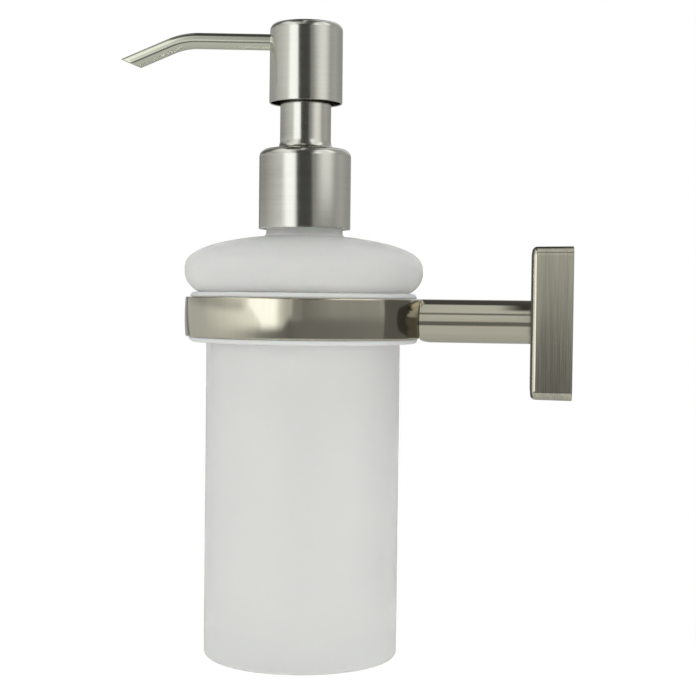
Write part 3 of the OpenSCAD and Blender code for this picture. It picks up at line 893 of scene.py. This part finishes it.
def level_bands(shader, sky):
    """The bands level with the object, which lean a little away from the wall, and those below it."""
    raised = shader.math("MINIMUM", shader.math("MAXIMUM", sky.elevation, -4.0), 6.0)
    lean = shader.math("MULTIPLY", raised, shader.span(sky.azimuth, -35.0, -25.0, 1.55, 0.0))
    horizon = banded(shader, shader.math("ADD", sky.azimuth, lean), HORIZON)
    dimmer = banded(shader, sky.elevation, SIDE_DIMMER, 0.0, 10.0)
    side_shade = shader.math("MULTIPLY", dimmer, shader.span(sky.azimuth, -46.0, -54.0))
    dimmed = shader.mix(side_shade, horizon, (0.0, 0.0, 0.0))
    floor_side = banded(shader, sky.over, FLOOR_SIDE)
    low_band = banded(shader, sky.azimuth, LOW_BAND)
    below = shader.mix(shader.span(sky.elevation, -25.0, -20.0, smooth=True), floor_side, low_band)
    lifted = shader.math("ADD", sky.elevation, shader.span(sky.azimuth, -12.0, -5.0, 4.0, -1.2))
    return shader.mix(shader.span(lifted, -4.5, 1.5, smooth=True), below, dimmed)


def overhead_bands(shader, sky):
    """What hangs above: darker over the spout, and a strip of its own over the arm."""
    around = shader.mix(shader.span(sky.over, 91.0, 108.0), banded(shader, sky.side, BESIDE),
                        banded(shader, sky.side, BEHIND))
    shade = banded(shader, sky.over, OVER_SPOUT)
    shaded = shader.add("ShaderNodeVectorMath", {0: around, 1: shade}, operation="MULTIPLY").outputs[0]
    inward = shader.math("ADD", sky.side, shader.math("MULTIPLY", sky.z, 20.0))
    over_spout = shader.math("MULTIPLY", shader.span(inward, -14.0, -11.0),
                             shader.span(sky.side, -3.0, -5.0))
    above = shader.mix(over_spout, around, shaded)
    strip = shader.math("MULTIPLY", shader.span(sky.side, -6.2, -4.4), shader.span(sky.side, 2.0, 1.0))
    return shader.mix(strip, above, banded(shader, sky.over, OVER_ARM))


def calmed(shader, sky, path, bands):
    """The bands with second reflections towards the wall muted, for a calm joint of ring and arm."""
    again = shader.math("GREATER_THAN", path.outputs["Glossy Depth"], 1.5)
    towards_wall = shader.span(sky.side, 12.0, 24.0)
    muted = shader.mix(shader.span(sky.z, 0.64, 0.72), (0.13, 0.12, 0.11), (0.70, 0.64, 0.55))
    return shader.mix(shader.math("MULTIPLY", again, towards_wall), bands, muted)


def make_world():
    """A pale studio: white to the camera, even to matt surfaces, and soft bands for metal to mirror."""
    world = bpy.data.worlds.new("studio")
    bpy.context.scene.world = world
    world.use_nodes = True
    world.cycles.sampling_method = "NONE"
    shader = Shader(world.node_tree)
    sky = sky_angles(shader)
    upwards = shader.span(sky.elevation, 10.0, 17.0, smooth=True)
    bands = shader.mix(upwards, level_bands(shader, sky), overhead_bands(shader, sky))
    path = shader.add("ShaderNodeLightPath")
    outside = shader.math("SUBTRACT", 1.0, path.outputs["Is Transmission Ray"])
    mirrored = shader.math("MULTIPLY", path.outputs["Is Glossy Ray"], outside)
    lit = shader.mix(mirrored, (1.06, 1.06, 1.05), calmed(shader, sky, path, bands))
    seen = shader.mix(path.outputs["Is Camera Ray"], lit, (1.0, 1.0, 1.0))
    background = shader.add("ShaderNodeBackground", {"Color": seen, "Strength": 1.0})
    shader.add("ShaderNodeOutputWorld", {"Surface": background.outputs[0]})


# ---------------------------------------------------------------- studio cards and floor

def card_glow(name, radiance, soft):
    """A glow with faded edges, soft being shares of the width and height, halved when mirrored twice."""
    made = bpy.data.materials.new(name)
    made.use_nodes = True
    shader = Shader(made.node_tree)
    place = shader.add("ShaderNodeTexCoord").outputs["Object"]
    axes = shader.add("ShaderNodeSeparateXYZ", {"Vector": place}).outputs
    fade = 1.0
    for axis, width in zip(axes, soft):
        edge = shader.math("SUBTRACT", 0.5, shader.math("ABSOLUTE", axis))
        fade = shader.math("MULTIPLY", shader.span(edge, 0.0, width, smooth=True), fade)
    mirrored_twice = radiance * 0.5
    depth = shader.add("ShaderNodeLightPath").outputs["Glossy Depth"]
    strength = shader.span(depth, 1.0, 2.0, radiance, mirrored_twice)
    glow = shader.add("ShaderNodeEmission", {"Color": (1, 1, 1, 1), "Strength": strength})
    clear = shader.add("ShaderNodeBsdfTransparent")
    both = shader.add("ShaderNodeMixShader", {0: fade, 1: clear.outputs[0], 2: glow.outputs[0]})
    shader.add("ShaderNodeOutputMaterial", {"Surface": both.outputs[0]})
    made.cycles.emission_sampling = "NONE"
    return made


def make_card(name, place, target, size, radiance, soft, roll=0):
    """A soft-edged card of a given glow, bright or dark, that only shows in reflections."""
    bm = bmesh.new()
    bmesh.ops.create_grid(bm, x_segments=1, y_segments=1, size=0.5)
    mesh = bpy.data.meshes.new(name)
    bm.to_mesh(mesh)
    bm.free()
    mesh.materials.append(card_glow(name, radiance, soft))
    card = link(name, mesh)
    aim = (Vector(target) - Vector(place)).to_track_quat("-Z", "Y").to_matrix().to_4x4()
    spin = Matrix.Rotation(math.radians(roll), 4, "Z")
    card.matrix_world = Matrix.Translation(place) @ aim @ spin @ Matrix.Diagonal((*size, 1, 1))
    card.visible_camera = False
    card.visible_diffuse = False
    card.visible_transmission = False
    card.visible_shadow = False


def card_round_axis(name, azimuth, distance, z, **look):
    """A card that faces the bottle's axis, azimuth in degrees from +X towards +Y, the rest in metres."""
    a = math.radians(azimuth)
    axis = Vector((0, AXIS_Y * MM, z))
    make_card(name, axis + Vector((distance * math.cos(a), distance * math.sin(a), 0)), axis, **look)


def make_cards():
    """Cards for the wall side and the pump, the ring's front, the flange's front and the arm's top."""
    card_round_axis("right_card", 61, 0.22, 0.245, size=(0.27, 0.40), radiance=1.0, soft=(0.45, 0.03))
    card_round_axis("dark_card", 4.4, 0.06, 0.0745, size=(0.041, 0.101), radiance=0.075,
                    soft=(0.14, 0.05), roll=6)
    card_round_axis("ring_card", 4, 0.075, 0.0095, size=(0.013, 0.023), radiance=0.27, soft=(0.3, 0.1))
    flange_front = span("flange")[0].y * MM
    make_card("flange_card", place=(-0.0005, flange_front - 0.0003, 0), target=(-0.0005, flange_front - 1, 0),
              size=(0.0500, 0.052), radiance=0.12, soft=(0.005, 0.02))
    make_card("arm_card", place=(0.008, -0.0130, 0.03), target=(0.008, -0.0130, 0),
              size=(0.034, 0.027), radiance=0.05, soft=(0.3, 0.40))


def make_floor():
    """A wide round floor well below the object."""
    radius, depth = 900, 300
    bm = bmesh.new()
    bmesh.ops.create_circle(bm, cap_ends=True, segments=SMALL_ROUND, radius=radius)
    bmesh.ops.translate(bm, vec=(0, 0, -depth), verts=bm.verts)
    floor = finished("floor", bm)
    floor.data.materials.append(pale_floor())
    floor.visible_glossy = False


def make_studio():
    """World, cards and floor, shown as they are, with no film look."""
    make_world()
    make_cards()
    make_floor()
    bpy.context.scene.view_settings.view_transform = "Standard"


# ---------------------------------------------------------------- the object

def make_pieces(looks):
    """The finer pieces that stand for CAD nodes."""
    install(make_flange(), "holder", looks["nickel_flat"], "flange")
    install(make_arm(), "holder", looks["nickel_long"], "arm")
    install(make_ring(), "holder", looks["nickel_round"], "ring")
    install(make_liner(), "insert", looks["liner_plastic"], "ring_liner")
    install(make_bottle(), "bottle_body", looks["frosted_glass"], "bottle")
    install(make_collar(), "collar", looks["steel_turned"], "collar_shell")
    install(make_sleeve(), "collar", looks["steel_turned"], "collar_sleeve")
    install(make_head(), "head", looks["steel_turned"], "head_shell")
    install(make_spout(), "head", looks["nickel_bent"], "spout")
    coil = install(make_spring(), "pump_body", looks["spring_steel"], "return_spring")
    coil.modifiers.clear()
    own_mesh(coil)


CAD_LOOKS = {
    "wall_bracket": "cast_zinc", "flange_set_screw": "screw_steel", "arm_screw": "screw_steel",
    "arm_washer": "screw_steel", "ring_screw": "screw_steel", "pump_housing": "white_plastic",
    "neck_gasket": "seal_rubber", "stem_guide": "white_plastic", "dip_tube": "clear_plastic",
    "ball_cage": "white_plastic", "collar_insert": "white_plastic", "piston": "piston_plastic",
    "head_core": "white_plastic", "stem": "white_plastic", "inlet_ball": "spring_steel",
    "outlet_ball": "spring_steel",
}


def dress_cad_nodes(looks):
    """Materials for the CAD nodes that keep their shape."""
    for name, key in CAD_LOOKS.items():
        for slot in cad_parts[name].material_slots:
            slot.material = looks[key]


materials = make_materials()
make_camera()
make_pieces(materials)
dress_cad_nodes(materials)
make_studio()
